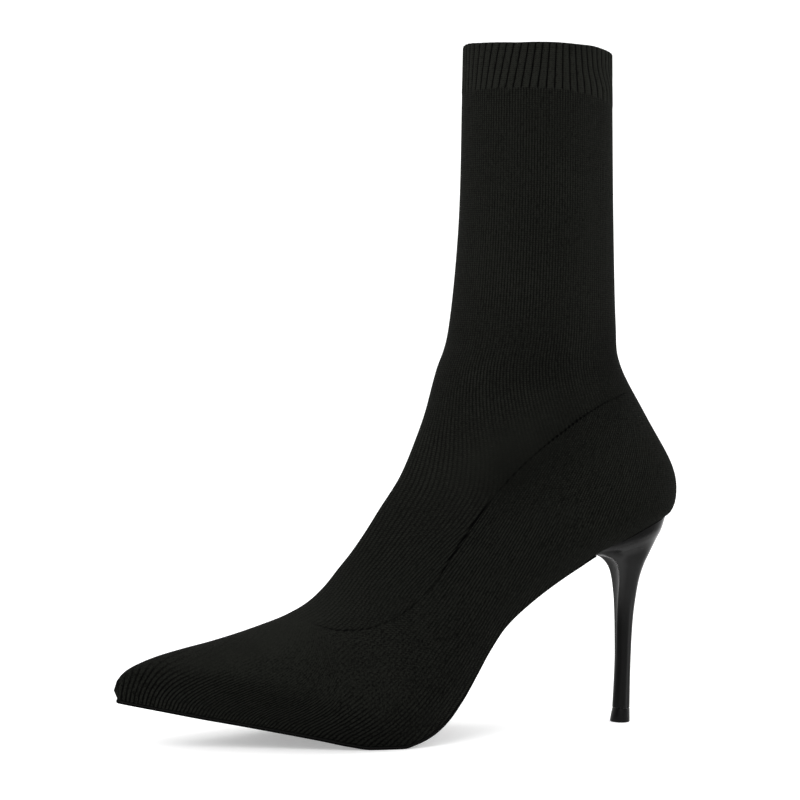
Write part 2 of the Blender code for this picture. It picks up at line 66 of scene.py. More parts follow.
# Underside of the knit: share of the foot's length, then shares of heel_rise and toe_spring there
sole_line = np.array((
    # along, heel_share, toe_share
    (0.021, 1.000, 0.000),
    (0.068, 0.949, 0.000),
    (0.115, 0.890, 0.000),
    (0.168, 0.826, 0.000),
    (0.201, 0.774, 0.000),
    (0.230, 0.728, 0.000),
    (0.288, 0.626, 0.000),
    (0.347, 0.502, 0.000),
    (0.379, 0.401, 0.000),
    (0.410, 0.286, 0.000),
    (0.441, 0.180, 0.000),
    (0.470, 0.097, 0.000),
    (0.498, 0.044, 0.000),
    (0.525, 0.014, 0.000),
    (0.545, 0.000, 0.000),
    (0.596, 0.000, 0.000),
    (0.630, 0.000, 0.065),
    (0.678, 0.000, 0.199),
    (0.795, 0.000, 0.489),
    (0.863, 0.000, 0.645),
    (0.932, 0.000, 0.823),
    (1.000, 0.000, 1.000),
))

# Rings of the shaft, collar first: where each meets the front and the back of the leg, as shares
# of the foot's length and of shaft_height, and its width as a share of collar_width
shaft_rings = (
    # front_along, front_up, back_along, back_up, width, floor, belly, peak
    (0.383, 1.003, 0.126, 0.981, 1.000, 0.14, 0.50, 1.00),
    (0.385, 0.907, 0.125, 0.869, 1.000, 0.14, 0.50, 1.00),
    (0.391, 0.629, 0.123, 0.635, 1.020, 0.14, 0.50, 1.00),
    (0.410, 0.399, 0.118, 0.414, 1.040, 0.14, 0.50, 1.00),
    (0.434, 0.306, 0.109, 0.322, 1.055, 0.14, 0.49, 1.00),
    (0.458, 0.212, 0.060, 0.214, 1.050, 0.14, 0.46, 1.02),
    (0.480, 0.145, 0.009, 0.106, 1.020, 0.15, 0.40, 1.05),
    (0.499, 0.095, 0.001, 0.040, 0.985, 0.18, 0.33, 1.08),
)

# Sections of the foot, heel first: where each stands on the sole line and reaches the top of the
# foot, its height as a share of instep_height, its two half widths as shares of ball_width
foot_sections = (
    # along, front_along, height, outer, inner, ridge, floor, belly, edge, peak
    (0.023, 0.514, 0.212, 0.343, 0.340, 0.000, 0.44, 0.27, 0.25, 1.08),
    (0.081, 0.538, 0.166, 0.340, 0.336, -0.004, 0.70, 0.25, 0.35, 1.10),
    (0.163, 0.562, 0.169, 0.330, 0.322, -0.008, 0.72, 0.25, 0.50, 1.12),
    (0.252, 0.588, 0.224, 0.328, 0.308, -0.012, 0.74, 0.26, 0.65, 1.14),
    (0.325, 0.613, 0.303, 0.352, 0.318, -0.015, 0.76, 0.27, 0.80, 1.16),
    (0.386, 0.637, 0.444, 0.400, 0.358, -0.018, 0.80, 0.26, 0.95, 1.18),
    (0.440, 0.667, 0.620, 0.455, 0.415, -0.020, 0.85, 0.25, 1.00, 1.20),
    (0.511, 0.702, 0.768, 0.500, 0.480, -0.022, 0.88, 0.25, 1.00, 1.22),
    (0.582, 0.744, 0.748, 0.482, 0.500, -0.022, 0.89, 0.26, 1.00, 1.20),
    (0.671, 0.790, 0.636, 0.402, 0.444, -0.020, 0.89, 0.29, 1.00, 1.16),
    (0.759, 0.836, 0.520, 0.296, 0.350, -0.020, 0.89, 0.33, 1.00, 1.12),
    (0.842, 0.881, 0.422, 0.194, 0.252, -0.020, 0.88, 0.37, 1.00, 1.08),
    (0.911, 0.926, 0.325, 0.114, 0.166, -0.019, 0.87, 0.40, 1.00, 1.04),
    (0.957, 0.961, 0.238, 0.066, 0.112, -0.019, 0.85, 0.42, 0.95, 1.00),
    (0.982, 0.982, 0.172, 0.038, 0.078, -0.019, 0.82, 0.44, 0.80, 1.00),
    (0.993, 0.994, 0.110, 0.014, 0.052, -0.019, 0.75, 0.46, 0.60, 1.00),
)


def along_foot(share):
    """Position along X of a share of the foot's length, counted from the heel's bulge."""
    return np.asarray(share) * foot_length + heel_bulge_x


def through_points(x, knots, values):
    """Cubic pieces through the knots, with each slope the harmonic mean of its neighbours, so
    that the curve never overshoots and level stretches stay level."""
    step = np.diff(knots)
    slope = np.diff(values) / step
    total = np.where(slope[:-1] + slope[1:] == 0, 1, slope[:-1] + slope[1:])
    inner = np.where(slope[:-1] * slope[1:] > 0, 2 * slope[:-1] * slope[1:] / total, 0.0)
    tangent = np.concatenate([slope[:1], inner, slope[-1:]])
    x = np.clip(x, knots[0], knots[-1])
    i = np.clip(np.searchsorted(knots, x) - 1, 0, len(step) - 1)
    t = (x - knots[i]) / step[i]
    return (
        values[i] * (1 + 2 * t) * (1 - t) ** 2
        + values[i + 1] * t * t * (3 - 2 * t)
        + step[i] * (tangent[i] * t * (1 - t) ** 2 - tangent[i + 1] * t * t * (1 - t))
    )


def sole_height(x):
    """Height of the knit's underside: the heel's rise and the toe's spring added to the ball's."""
    share = (np.asarray(x) - heel_bulge_x) / foot_length
    heel = through_points(share, sole_line[:, 0], sole_line[:, 1])
    toe = through_points(share, sole_line[:, 0], sole_line[:, 2])
    return ball_z + heel_rise * heel + toe_spring * toe


# Columns of a section: its front and back points and two half widths in metres, how far its ridge
# stands to the outer side, and the shares that shape its floor, corner and crown
front_x, front_z, back_x, back_z, outer, inner, ridge, floor, belly, edge, peak = range(11)


def shaft_columns():
    """The shaft's rings in metres: each is as wide on both sides, has no ridge and a round corner."""
    front, front_up, back, back_up, width, flat, low, power = np.array(shaft_rings).T
    half = width * collar_width / 2
    none = np.zeros(len(half))
    return np.stack([
        along_foot(front), seat_z + front_up * shaft_height,
        along_foot(back), seat_z + back_up * shaft_height,
        half, half, none, flat, low, none, power,
    ], axis=1)


def foot_columns():
    """The foot's sections in metres: each stands on the sole line and rises by its height."""
    along, front, height, out, inward, top, flat, low, crisp, power = np.array(foot_sections).T
    under = sole_height(along_foot(along))
    return np.stack([
        along_foot(front), under + height * instep_height, along_foot(along), under,
        out * ball_width, inward * ball_width, top * ball_width, flat, low, crisp, power,
    ], axis=1)


key_sections = np.vstack([shaft_columns(), foot_columns()])
first_foot_section = len(shaft_rings)


def sections_at(place):
    """Sections at fractional places in the table, by a Catmull-Rom curve through each column. In
    the foot their undersides are put back on the sole line."""
    keys = np.vstack([2 * key_sections[0] - key_sections[1], key_sections,
                      2 * key_sections[-1] - key_sections[-2]])
    i = np.clip(np.floor(place).astype(int), 0, len(key_sections) - 2)
    t = (place - i)[:, None]
    a, b, c, d = keys[i], keys[i + 1], keys[i + 2], keys[i + 3]
    rows = 0.5 * (2 * b + (c - a) * t + (2 * a - 5 * b + 4 * c - d) * t**2
                  + (3 * b - a - 3 * c + d) * t**3)
    foot = place >= first_foot_section
    rows[foot, back_z] = sole_height(rows[foot, back_x])
    return rows


def last_surface(rows, floor_steps, corner_steps, crown_steps):
    """The last as a grid: each section is a flat floor, a corner that turns up to the widest
    point on a quarter wave, and a crown that closes over the ridge on a cosine to a power. Up is
    a share of the way from the section's underside to its top. Columns run from the middle of
    the back or sole round the outer side to the top and back round the inner side."""
    quarter = math.pi / 2
    span = np.hypot(rows[:, front_x] - rows[:, back_x], rows[:, front_z] - rows[:, back_z])[:, None]
    on_floor = (np.arange(floor_steps) / floor_steps)[None]
    on_corner = (np.arange(corner_steps) / corner_steps)[None]
    on_crown = (np.arange(crown_steps) / crown_steps)[None]
    low = span * rows[:, belly, None]
    crisp = rows[:, edge, None]
    sides = []
    for side, half in ((1, rows[:, outer, None]), (-1, rows[:, inner, None])):
        flat = half * rows[:, floor, None]
        top = rows[:, ridge, None] * side
        across = np.hstack([
            on_floor * flat,
            flat + (half - flat) * np.sin(on_corner * quarter),
            top + (half - top) * np.cos(on_crown * quarter) ** rows[:, peak, None],
        ]) * side
        up = np.hstack([
            on_floor * 0 * low,
            low * ((1 - crisp) * (1 - np.cos(on_corner * quarter)) + crisp * on_corner),
            low + (span - low) * np.sin(on_crown * quarter),
        ])
        sides.append((across, up))
    (outer_y, outer_up), (inner_y, inner_up) = sides
    across = np.hstack([outer_y, rows[:, ridge, None], inner_y[:, :0:-1]])
    share = np.hstack([outer_up, span, inner_up[:, :0:-1]]) / span
    return np.stack([
        rows[:, back_x, None] + share * (rows[:, front_x] - rows[:, back_x])[:, None],
        across,
        rows[:, back_z, None] + share * (rows[:, front_z] - rows[:, back_z])[:, None],
    ], axis=2)


def outward(grid):
    """Unit normal at each point: the ring's direction crossed with the direction down the rows."""
    round_way = np.roll(grid, -1, axis=1) - np.roll(grid, 1, axis=1)
    down_way = np.gradient(grid, axis=0)
    normal = np.cross(round_way, down_way)
    return normal / np.linalg.norm(normal, axis=2, keepdims=True)


def evenly_down(spacing, extra=(), samples=1200):
    """Places in the table of sections that lie about spacing apart on the surface, with extra ones
    added. The way down is summed over fine steps, each the mean of its front and back lengths."""
    fine = np.linspace(0, len(key_sections) - 1, samples)
    rows = sections_at(fine)
    step = np.diff(rows, axis=0)
    gap = (np.hypot(step[:, front_x], step[:, front_z]) + np.hypot(step[:, back_x], step[:, back_z])) / 2
    run = np.concatenate([[0], np.cumsum(gap)])
    even = np.interp(np.linspace(0, run[-1], int(run[-1] / spacing)), run, fine)
    return np.unique(np.concatenate([even, extra]))


floor_steps, corner_steps, crown_steps = 20, 84, 90
ring_spacing = 2.0 * mm
cuff_edge_place = 1.0  # the cuff ends at the table's second ring
fine_above, fine_below, fine_rings = 0.12, 0.03, 16  # closer rings beside the cuff's edge
near_cuff_edge = cuff_edge_place + np.linspace(-fine_above, fine_below, fine_rings)
places = evenly_down(ring_spacing, near_cuff_edge)
section_rows = sections_at(places)
last_grid = last_surface(section_rows, floor_steps, corner_steps, crown_steps)
last_normal = outward(last_grid)

ring_step = np.linalg.norm(np.roll(last_grid, -1, axis=1) - last_grid, axis=2)
around = np.cumsum(ring_step, axis=1) - ring_step
around /= ring_step.sum(axis=1, keepdims=True)
row_step = np.linalg.norm(np.diff(last_grid, axis=0), axis=2)
down = np.vstack([np.zeros((1, row_step.shape[1])), np.cumsum(row_step, axis=0)])
cuff_row = int(np.argmin(np.abs(places - cuff_edge_place)))
cuff_edge_lift = 1.7 * mm  # the cuff's lower edge stands higher at the middle of each side
cuff_front_drop = 1.2 * mm
below_cuff = down - down[cuff_row] + cuff_edge_lift * np.sin(2 * math.pi * around) ** 2
below_cuff -= cuff_front_drop * np.clip(-np.cos(2 * math.pi * around), 0, 1)


# The cuff's ribs run evenly round the collar and fan out towards the cuff's lower edge. At the
# back of the leg they swing over only part of the way down. Shares are of the way round the leg,
# counted from the middle of the back, or of the way down the cuff.
rib_count = 60
rib_swell = 0.30 * mm
rib_fan = 0.019
bend_reach, bend_fade = 0.22, 0.125
swing_start, swing_length, swing_reach = 0.30, 0.50, 1.5
cuff_blend = 0.8 * mm
cuff_edge_step = 0.12 * mm
fan_end = 1.6
cuff_down = np.clip(down / down[cuff_row], 0, fan_end)
from_back = np.minimum(around, 1 - around)
bend = np.clip((bend_reach - from_back) / bend_fade, 0, 1)
swing = np.clip((cuff_down - swing_start) / swing_length, 0, 1)
swung = swing_reach * swing**2 * (3 - 2 * swing)
fan_place = cuff_down * (1 - bend) + swung * bend - 0.5
rib_turn = (around + rib_fan * np.sin(4 * math.pi * around) * fan_place) * rib_count
rib_wave = np.cos(2 * math.pi * rib_turn)
on_cuff = np.clip(0.5 - below_cuff / cuff_blend, 0, 1)
relief = (cuff_edge_step - rib_swell * (0.5 + 0.5 * rib_wave)) * on_cuff

# How the empty collar's edge rises and falls from back to front, in millimetres
collar_line = np.array((
    # along, rise
    (0.115, 0.30),
    (0.165, 0.90),
    (0.190, 1.20),
    (0.219, 0.80),
    (0.264, 0.35),
    (0.302, -0.30),
    (0.331, -0.85),
    (0.360, -0.80),
    (0.376, -0.60),
    (0.383, -0.10),
))


collar_reach = 0.15 * shaft_height  # how far down the leg it fades out
collar_fade = 1.5


def settled(grid):
    """The grid with the collar's rise and fall added at its edge, fading down the leg with a power
    of the share of the way that is left."""
    near = np.clip((grid[..., 2] - seat_z - shaft_height) / collar_reach + 1, 0, 1) ** collar_fade
    set_grid = grid.copy()
    set_grid[..., 2] += near * mm * through_points(
        (grid[..., 0] - heel_bulge_x) / foot_length, collar_line[:, 0], collar_line[:, 1])
    return set_grid


# The welt where the foot part ends, seen from the side: shares of the foot's length and of the
# height from the floor to the seat
welt_line = np.array((
    # along, up
    (-0.080, 1.633),
    (0.087, 1.591),
    (0.118, 1.575),
    (0.160, 1.542),
    (0.206, 1.486),
    (0.264, 1.379),
    (0.318, 1.250),
    (0.372, 1.086),
    (0.407, 0.966),
    (0.438, 0.856),
    (0.470, 0.738),
    (0.514, 0.634),
    (0.547, 0.578),
    (0.572, 0.552),
    (0.605, 0.528),
    (0.637, 0.524),
    (0.667, 0.539),
    (0.686, 0.560),
    (0.700, 0.593),
    (0.715, 0.765),
))
welt_x = along_foot(welt_line[:, 0])
welt_z = welt_line[:, 1] * seat_z


def distance_to_line(x, z, line_x, line_z):
    """Distance in the side view from each point to a line of straight pieces, above it
    positive, and how far along the line the nearest point is."""
    nearest = np.full(x.shape, np.inf)
    place = np.zeros(x.shape)
    run = 0.0
    for ax, az, bx, bz in zip(line_x[:-1], line_z[:-1], line_x[1:], line_z[1:]):
        length = math.hypot(bx - ax, bz - az)
        t = np.clip(((x - ax) * (bx - ax) + (z - az) * (bz - az)) / length**2, 0, 1)
        gap = np.hypot(x - ax - t * (bx - ax), z - az - t * (bz - az))
        place = np.where(gap < nearest, run + t * length, place)
        nearest = np.minimum(gap, nearest)
        run += length
    above = (z > np.interp(x, line_x, line_z)) & (x < line_x[-1])
    return np.where(above, nearest, -nearest), place


welt_pieces = 8  # straight pieces to each point of the table
welt_fine = np.linspace(0, len(welt_x) - 1, welt_pieces * len(welt_x))
welt_order = np.arange(len(welt_x), dtype=float)
welt_x, welt_z = (through_points(welt_fine, welt_order, line) for line in (welt_x, welt_z))
from_welt, along_welt = distance_to_line(last_grid[..., 0], last_grid[..., 2], welt_x, welt_z)

# Beside the welt the shaft dips under the foot part's thicker edge, which swells a little. The
# welt fades out at the top of the foot in front and short of the achilles behind.
welt_front, welt_front_fade = 143 * mm, 10 * mm
welt_back, welt_back_fade = 5 * mm, 4 * mm
welt_dip, welt_dip_reach, welt_blend = 0.45 * mm, 9 * mm, 1.8 * mm
welt_swell, welt_swell_below, welt_swell_reach = 0.20 * mm, 1.5 * mm, 1.2 * mm
welt_ends = np.clip((welt_front - last_grid[..., 0]) / welt_front_fade, 0, 1)
welt_ends *= np.clip((last_grid[..., 0] - welt_back) / welt_back_fade, 0, 1)
welt_ends = welt_ends**2 * (3 - 2 * welt_ends)
shaft_side = np.clip(0.5 + from_welt / welt_blend, 0, 1)
relief -= welt_ends * welt_dip * shaft_side * np.exp(-np.clip(from_welt, 0, None) / welt_dip_reach)
relief += welt_ends * welt_swell * np.exp(-((from_welt + welt_swell_below) / welt_swell_reach) ** 2)

# Soft folds of the empty sock: middle, lean from the horizontal in degrees, half
# length, half width and depth in millimetres (a ridge is negative), and how much each side has
soft_folds = (
    # along, up, lean, length, width, depth, outer_side, inner_side
    (0.330, 1.609, 12.0, 20.0, 7.0, 0.55, 1.0, 0.4),
    (0.300, 1.471, -14.0, 24.0, 6.0, -0.45, 1.0, 0.6),
    (0.360, 1.364, -30.0, 22.0, 8.0, 0.60, 1.0, 0.8),
    (0.240, 1.864, 84.0, 40.0, 8.0, 0.45, 1.0, 0.5),
    (0.330, 2.305, 88.0, 60.0, 9.0, 0.40, 1.0, 0.5),
    (0.190, 2.649, 92.0, 45.0, 6.0, 0.35, 0.8, 1.0),
    (0.170, 1.324, 60.0, 22.0, 8.0, -0.40, 1.0, 1.0),
    (0.520, 0.804, -52.0, 24.0, 7.0, 0.35, 1.0, 0.7),
)
side_blend = 8 * mm


def oval(middle_along, middle_up, lean, length, width):
    """A soft leaning oval on the side view, 1 in its middle, that falls off with the squares of
    the distances along and across its lean."""
    dx = last_grid[..., 0] - along_foot(middle_along)
    dz = last_grid[..., 2] - middle_up * seat_z
    turn = math.radians(lean)
    lengthwise = (-dx * math.cos(turn) + dz * math.sin(turn)) / (length * mm)
    crosswise = (dx * math.sin(turn) + dz * math.cos(turn)) / (width * mm)
    return np.exp(-(lengthwise**2) - crosswise**2)


outer_share = 0.5 + 0.5 * np.tanh(last_grid[..., 1] / side_blend)
for *place, depth, outer_side, inner_side in soft_folds:
    side = outer_side * outer_share + inner_side * (1 - outer_share)
    relief -= depth * mm * side * oval(*place)

# Lines of stitches. On the shaft they run down the leg; on the foot they sweep up from the sole
# towards the heel, at a lean from the horizontal that changes along the foot.
shaft_wales = 164
heel_radius = 27.5 * mm
heel_middle_x = heel_bulge_x + heel_radius
toe_bend = 120.0  # per metre
toe_bend_start, toe_bend_length = 135 * mm, 55 * mm
path_shares, path_steps = (-0.12, 1.03), 640
wale_lean = np.array((
    # along, lean
    (0.000, 73.0),
    (0.130, 69.0),
    (0.280, 61.0),
    (0.390, 54.0),
    (0.470, 47.0),
    (0.550, 40.0),
    (0.615, 36.0),
    (0.720, 42.0),
    (0.794, 52.0),
    (0.861, 64.0),
    (0.907, 72.0),
    (0.948, 80.0),
    (1.000, 86.0),
))
# Width of one line of stitches in millimetres
wale_width = np.array((
    # along, width
    (0.00, 1.25),
    (0.45, 1.25),
    (0.60, 1.45),
    (0.75, 1.65),
    (0.90, 1.65),
    (1.00, 1.60),
))


def round_the_heel(x, y):
    """Position along the foot with the heel's round back unrolled: ahead of the heel's middle it is
    x, and behind it falls with the angle that is left to the middle of the back."""
    behind = np.clip(heel_middle_x - x, 0, None)
    return np.where(behind > 0, heel_middle_x - heel_radius * np.arctan2(behind, np.abs(y)), x)


def foot_wales(x, z):
    """Number of the line of stitches at each point of the side view. A line's height falls with x
    by the tangent of the lean, so height plus the running sum of that tangent is the same all
    along it. The lines are counted along a straight path from heel to toe, a wale's width each.
    Near the toe the square of the height over the sole is added, which bends them backward."""
    bent = toe_bend * np.clip((x - toe_bend_start) / toe_bend_length, 0, 1)
    above_sole = np.clip(z - sole_height(x), 0, None)
    z = z + bent * above_sole**2
    path_x = along_foot(np.linspace(*path_shares, path_steps))
    lean = np.radians(np.interp(path_x, along_foot(wale_lean[:, 0]), wale_lean[:, 1]))
    rise = np.tan(lean)
    climbed = np.concatenate([[0], np.cumsum((rise[1:] + rise[:-1]) / 2 * np.diff(path_x))])
    toe_z = ball_z + toe_spring
    fall = (seat_z - toe_z) / foot_length
    path_z = seat_z - fall * (path_x - heel_bulge_x)
    width = np.interp(path_x, along_foot(wale_width[:, 0]), wale_width[:, 1] * mm)
    across = (rise - fall) * np.cos(lean) / width
    counted = np.concatenate([[0], np.cumsum((across[1:] + across[:-1]) / 2 * np.diff(path_x))])
    return np.interp(z + np.interp(x, path_x, climbed), path_z + climbed, counted)


# Along the outsole the knit's lasted edge rolls down a little over it
edge_roll, edge_roll_reach = 0.8 * mm, 1.2 * mm
edge_roll_start, edge_roll_fade = 20 * mm, 25 * mm
edge_roll_top = 2 * mm
flat_half = np.where(last_grid[..., 1] > 0, section_rows[:, outer, None], section_rows[:, inner, None])
from_flat_end = np.abs(last_grid[..., 1]) - flat_half * section_rows[:, floor, None]
on_sole = np.clip((last_grid[..., 0] - edge_roll_start) / edge_roll_fade, 0, 1)
on_sole *= places[:, None] >= first_foot_section
low_down = np.clip(1.5 - (last_grid[..., 2] - sole_height(last_grid[..., 0])) / edge_roll_top, 0, 1)
rolled = edge_roll * on_sole * low_down * np.exp(-((from_flat_end / edge_roll_reach) ** 2))

outer_grid = settled(last_grid + last_normal * relief[..., None])
outer_grid[..., 2] -= rolled
foot_wale_number = foot_wales(round_the_heel(last_grid[..., 0], last_grid[..., 1]), last_grid[..., 2])

# Inside, the wall's other face follows the last more coarsely and stops short of the toe's point
inner_spacing = 14 * mm
sections_short = 3
inner_places = evenly_down(inner_spacing)
inner_places = inner_places[inner_places < len(key_sections) - sections_short]
inner_grid = last_surface(sections_at(inner_places), floor_steps, corner_steps, crown_steps)
inner_grid = settled(inner_grid - outward(inner_grid) * knit_wall)

# The collar's rim is a half round between the two faces
rim_rise = 0.4 * mm
rim_steps = 6
outer_grid[0, :, 2] -= rim_rise
inner_grid[0, :, 2] -= rim_rise
rim_turns = np.linspace(0, math.pi, rim_steps)[1:-1, None, None]
rim_middle = (outer_grid[0] + inner_grid[0]) / 2
rim_reach = (outer_grid[0] - inner_grid[0]) / 2
rim = rim_middle + rim_reach * np.cos(rim_turns) + np.array([0, 0, rim_rise]) * np.sin(rim_turns)


def closed_rings(rings):
    """Points and faces of rings joined in order by quads, each end closed by a fan on the mean of
    its ring."""
    count, columns = rings.shape[:2]
    r, c = np.meshgrid(np.arange(count - 1), np.arange(columns), indexing="ij")
    d = (c + 1) % columns
    quads = np.stack([r * columns + c, (r + 1) * columns + c, (r + 1) * columns + d, r * columns + d],
                     axis=2).reshape(-1, 4)
    c = np.arange(columns)
    d = (c + 1) % columns
    first = np.stack([c, d, np.full(columns, count * columns)], axis=1)
    base = (count - 1) * columns
    last = np.stack([base + d, base + c, np.full(columns, count * columns + 1)], axis=1)
    points = np.vstack([rings.reshape(-1, 3), rings[0].mean(axis=0), rings[-1].mean(axis=0)])
    return points, quads.tolist() + first.tolist() + last.tolist()


def piece(name, points, faces):
    """A named mesh object at the origin with its place in its vertices."""
    mesh = bpy.data.meshes.new(name)
    mesh.from_pydata(points.tolist(), [], faces)
    mesh.validate()
    mesh.shade_smooth()
    made = bpy.data.objects.new(name, mesh)
    bpy.context.scene.collection.objects.link(made)
    return made


def on_points(made, name, values):
    """A float kept at each vertex, for the finish to read."""
    layer = made.data.attributes.new(name, "FLOAT", "POINT")
    layer.data.foreach_set("value", np.asarray(values, dtype=np.float32).ravel())


hidden_rings = len(rim) + len(inner_grid)


def everywhere(outside_values, inside_value):
    """Values of the outside rings in the sock's order, with one value, or one ring of them, on the
    rim and inside. The toe's point has the mean of the last ring outside."""
    hidden = np.broadcast_to(inside_value, (hidden_rings, outside_values.shape[1]))
    return np.concatenate([
        outside_values[::-1].ravel(), hidden.ravel(), [outside_values[-1].mean(), hidden[-1, -1]],
    ])


# Rings run from the toe up the outside to the collar, over the rim and down the inside
sock_points, sock_faces = closed_rings(np.concatenate([outer_grid[::-1], rim, inner_grid]))
toe_point = -2
sock_points[toe_point, 0] = along_foot(1.0)
sock = piece("knitted_upper", sock_points, sock_faces)
# Below the ankle the shaft's lines drop more steeply than the foot turns, by more and more lines
# for each millimetre down, on both sides away from the front
ankle_height, drop_length, drop_onset = 145.0, 60.0, 20.0
drop_rate, drop_front = 0.14, 8.0
below_ankle = np.clip(ankle_height - last_grid[..., 2] / mm, 0, drop_length)
drop = drop_rate * below_ankle**2 / (below_ankle + drop_onset) * np.tanh(drop_front * (0.5 - around))
leg_wale_number = around * shaft_wales + drop
on_points(sock, "leg_wale", everywhere(leg_wale_number, leg_wale_number[0]))
on_points(sock, "rib", everywhere(rib_turn, rib_turn[0]))
on_points(sock, "foot_wale", everywhere(foot_wale_number, 0.0))
on_points(sock, "course", everywhere(down / mm, 0.0))
inside_from_welt, inside_below_cuff = 20.0, -5.0  # the inside shows the shaft's lines and the ribs
on_points(sock, "from_welt", everywhere(from_welt / mm, inside_from_welt))
on_points(sock, "below_cuff", everywhere(below_cuff / mm, inside_below_cuff))

# How plainly the welt's stitches pull the knit in: most beside the arch, then at its back end
pull_place = np.concatenate([[0], np.cumsum(np.hypot(np.diff(welt_x), np.diff(welt_z)))])
tight_spots = (
    # along, reach, pull
    (0.425, 20.0, 1.00),
    (0.330, 14.0, 0.45),
    (0.240, 22.0, 0.75),
    (0.110, 9.0, 0.90),
    (0.530, 14.0, 0.40),
    (0.640, 16.0, 0.60),
)
slight_pull = 0.12
pull = np.full(last_grid.shape[:2], slight_pull)
for spot_along, reach, strength in tight_spots:
    spot = np.interp(along_foot(spot_along), welt_x, pull_place)
    pull = np.maximum(pull, strength * np.exp(-((along_welt - spot) / (reach * mm)) ** 2))
on_points(sock, "pull", everywhere(pull * welt_ends, 0.0))

# How deep the lines of stitches lie open: deep round the sides of the toe, closed on top of it
section_share = (last_grid[..., 2] - section_rows[:, None, back_z]) / (
    section_rows[:, None, front_z] - section_rows[:, None, back_z])
vamp_start, vamp_length = 85 * mm, 65 * mm
toward_toe = np.clip((last_grid[..., 0] - vamp_start) / vamp_length, 0, 1)
open_up_to = np.array((
    # along, share of the section's height
    (0.55, 0.25),
    (0.67, 0.40),
    (0.79, 0.58),
    (0.86, 0.70),
    (0.92, 0.82),
    (1.00, 1.00),
))
open_on_shaft, open_on_foot, more_at_toe, less_on_top = 0.72, 0.84, 0.20, 0.45
limit_blend, top_onset = 0.20, 2.2
limit = np.interp(last_grid[..., 0], along_foot(open_up_to[:, 0]), open_up_to[:, 1])
low_on_side = np.clip((limit - section_share) / limit_blend + 0.5, 0, 1)
on_top = np.clip(top_onset * toward_toe, 0, 1) * (1 - low_on_side)
on_foot = open_on_foot + more_at_toe * toward_toe * low_on_side - less_on_top * on_top
open_lines = np.where(from_welt > 0, open_on_shaft, on_foot)


def spots(table):
    """Sum of soft ovals, each times its strength."""
    return sum(strength * oval(*place) for *place, strength in table)


# Where the knit is stretched its stitches close and hardly show
stretched_spots = (
    # along, up, lean, length, width, how far
    (0.345, 1.300, 30.0, 32.0, 14.0, 0.85),
    (0.738, 0.500, 24.0, 24.0, 6.0, 0.80),
    (0.860, 0.400, 18.0, 16.0, 4.0, 0.60),
)
grain = np.clip(1 - spots(stretched_spots), 0, 1)
foot_grain = 1.3  # the foot part's yarn is coarser
inside_open = 0.3
on_points(sock, "open_lines", everywhere(open_lines * grain, inside_open))
on_points(sock, "grain", everywhere(np.where(from_welt < 0, foot_grain, 1.0) * grain, 1.0))

# Painted light and shade: patches where the knit's colour is painted lighter or darker for the light
# and shade that fall on it: middle, half length and half width in millimetres, lean in degrees and how
# much lighter
painted_light_and_shade_spots = (
    # along, up, lean, length, width, lighter
    (0.300, 1.246, 28.0, 34.0, 15.0, -0.42),
    (0.250, 1.471, 10.0, 26.0, 8.0, -0.14),
    (0.200, 2.109, 90.0, 60.0, 9.0, 0.16),
    (0.250, 2.750, 0.0, 60.0, 30.0, 0.08),
    (0.360, 2.305, 84.0, 42.0, 8.0, 0.15),
    (0.330, 1.746, 20.0, 20.0, 9.0, 0.10),
    (0.150, 1.256, 40.0, 32.0, 18.0, 0.20),
    (0.330, 1.001, 48.0, 34.0, 9.0, 0.12),
    (0.650, 0.640, 45.0, 20.0, 9.0, 0.14),
    (0.560, 0.350, 30.0, 26.0, 14.0, -0.10),
    (0.700, 0.510, 22.0, 40.0, 10.0, 0.22),
    (0.480, 0.294, 40.0, 40.0, 9.0, -0.16),
    (0.640, 0.059, 0.0, 60.0, 8.0, -0.18),
    (0.270, 1.720, 6.0, 30.0, 13.0, -0.30),
    (0.150, 1.740, 90.0, 22.0, 9.0, -0.27),
)
# The painted light and shade multiplies the knit's colour
painted_light_and_shade = 1 + spots(painted_light_and_shade_spots)
on_points(sock, "painted_light_and_shade", everywhere(painted_light_and_shade, 1.0))


